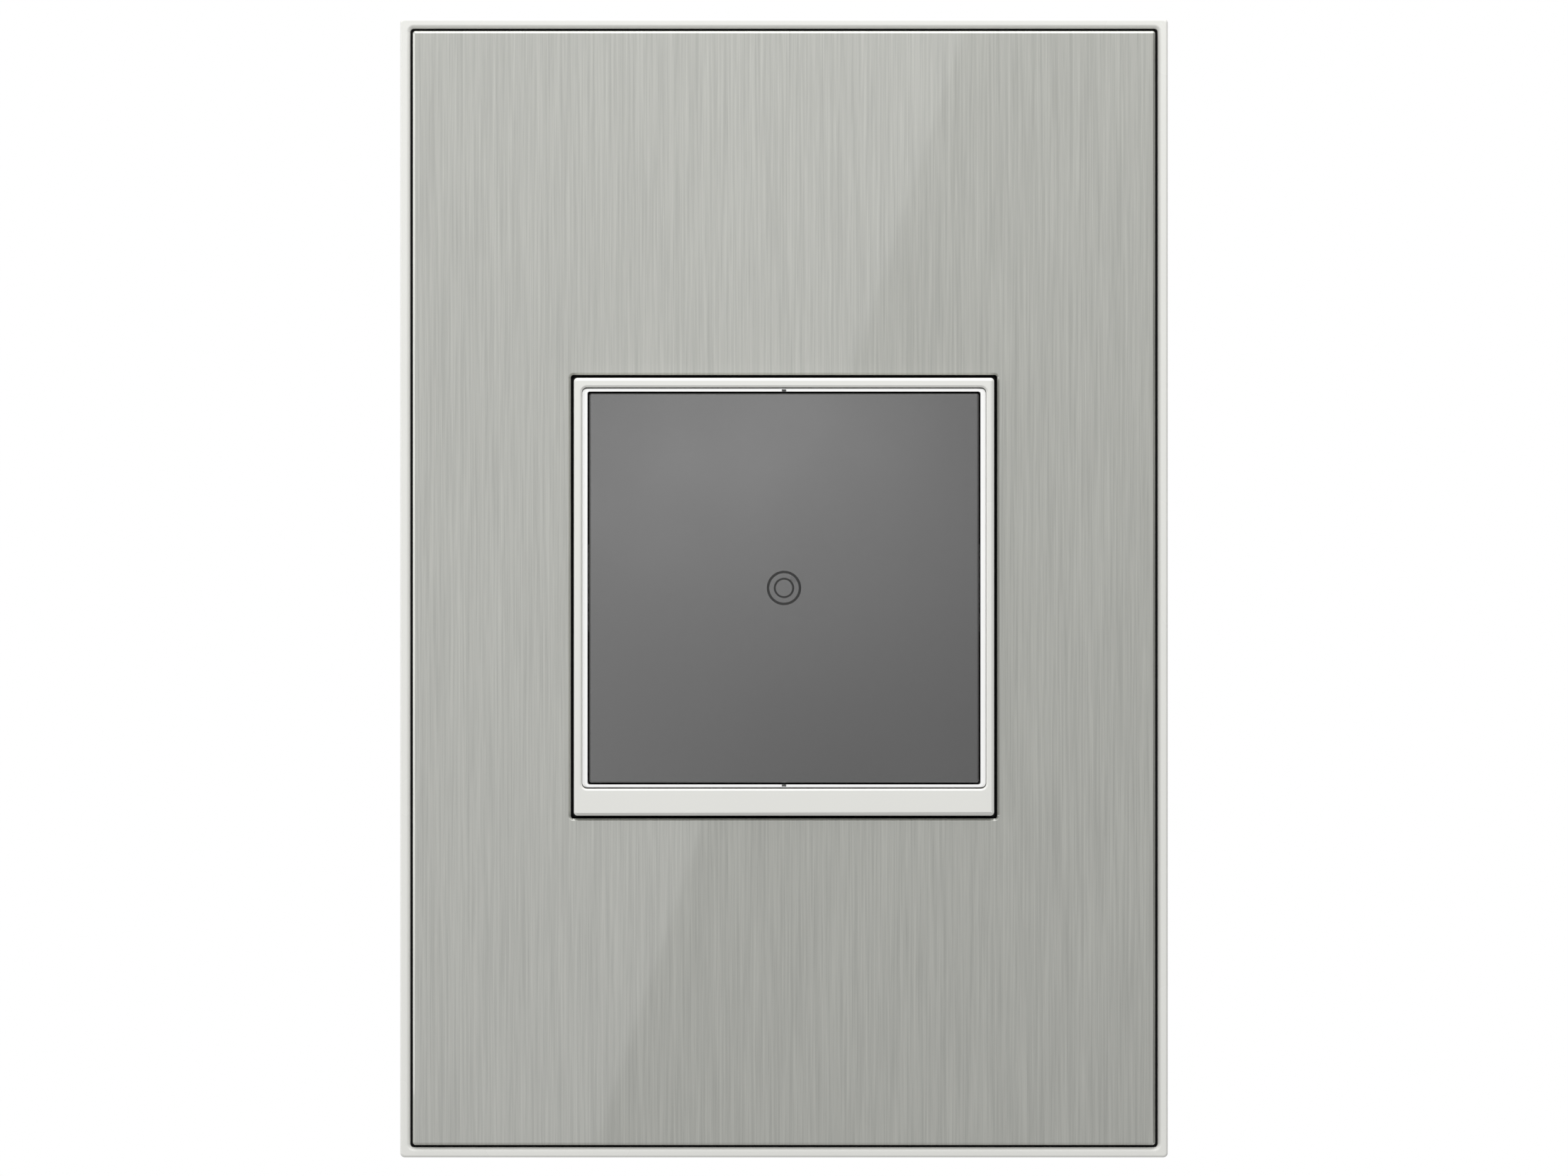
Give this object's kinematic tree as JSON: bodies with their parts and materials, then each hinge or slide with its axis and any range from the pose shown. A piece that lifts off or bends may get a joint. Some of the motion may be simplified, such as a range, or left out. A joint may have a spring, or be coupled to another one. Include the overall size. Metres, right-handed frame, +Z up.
{
  "type": "wall switch",
  "caption": "Flush wall switch: brushed steel screwless plate with a white rim around one square grey push key, with its strap, screw terminals and rocker contact mechanism.",
  "frame": {"origin": "middle of the wall plate on the wall's surface, midway between the two box screws", "axes": "+X to the right seen from the room, +Y into the wall, +Z up"},
  "size_m": [0.0876, 0.038, 0.13],
  "materials": {
    "white_plastic": "smooth glossy white moulding",
    "bright_plastic": "bright white polished moulding",
    "steel": "vertically brushed stainless steel",
    "black_plastic": "matt black moulding",
    "tape": "black double-sided foam tape",
    "zinc_steel": "zinc-plated sheet steel",
    "screw_steel": "zinc-plated screw steel",
    "fibre": "red vulcanised fibre",
    "green_screw": "green-dyed screw",
    "key_grey": "satin grey key",
    "ink": "dark printed mark",
    "yoke_plastic": "natural nylon",
    "housing_plastic": "dark thermoset housing",
    "spring_steel": "spring steel",
    "rubber": "soft rubber",
    "rocker_plastic": "acetal",
    "brass": "brass",
    "black_screw": "blackened common screw",
    "silver": "silver contact"
  },
  "bodies": {
    "root": {"plate_rim": "white_plastic", "panel_backer": "black_plastic", "panel_adhesive": "tape", "steel_panel": "steel", "mounting_strap": "zinc_steel", "box_screws": "screw_steel", "screw_retainers": "fibre", "strap_screws": "screw_steel", "ground_clamp": "zinc_steel", "ground_screw": "green_screw", "bezel": "white_plastic", "guide_frame": "bright_plastic", "front_housing": "housing_plastic", "rear_housing": "housing_plastic", "housing_screws": "screw_steel", "stop_pads": "rubber", "return_springs": "spring_steel", "rocker_axle": "screw_steel", "fixed_contacts": "silver", "common_terminal": "brass", "upper_terminal": "brass", "lower_terminal": "brass", "common_screw": "black_screw", "traveller_screws": "brass", "wire_clamps": "zinc_steel"},
    "yoke": {"key_yoke": "yoke_plastic", "pivot_pins": "screw_steel", "drive_pin": "screw_steel", "centring_leaf": "spring_steel"},
    "key": {"key_cap": "key_grey", "ring_inlay": "ink"},
    "rocker": {"contact_rocker": "rocker_plastic", "spring_plunger": "brass", "plunger_spring": "spring_steel"},
    "blade": {"contact_blade": "brass", "moving_contacts": "silver"},
    "latch": {"latch_wire": "spring_steel"}
  },
  "joints": [
    {"name": "key_push", "type": "slide", "parent": "root", "child": "yoke", "axis": [0, 1, 0], "range_m": [0, 0.0016], "stiffness_N_per_m": 800, "springref_m": -0.001, "deforming": ["return_springs"]},
    {"name": "key_rock", "type": "hinge", "parent": "yoke", "child": "key", "pos_m": [0, -0.005, 0], "axis": [0, 0, 1], "range_deg": [-1, 1], "stiffness_Nm_per_rad": 2, "deforming": ["centring_leaf"]},
    {"name": "rocker_tilt", "type": "hinge", "parent": "root", "child": "rocker", "pos_m": [0, 0.0125, 0], "axis": [1, 0, 0], "range_deg": [-11.5, 0]},
    {"name": "blade_tilt", "type": "hinge", "parent": "root", "child": "blade", "pos_m": [0, 0.022, 0], "axis": [1, 0, 0], "range_deg": [0, 8.1]},
    {"name": "latch_swing", "type": "hinge", "parent": "root", "child": "latch", "pos_m": [0.001, 0.017, 0], "axis": [0, 0, 1], "range_deg": [0, 5.1]}
  ],
  "couplings": [
    {"joint": "rocker_tilt", "follows": "key_push", "rad_per_m": -124.59},
    {"joint": "blade_tilt", "follows": "key_push", "rad_per_m": 87.266},
    {"joint": "latch_swing", "follows": "key_push", "rad_per_m": 54.541}
  ]
}
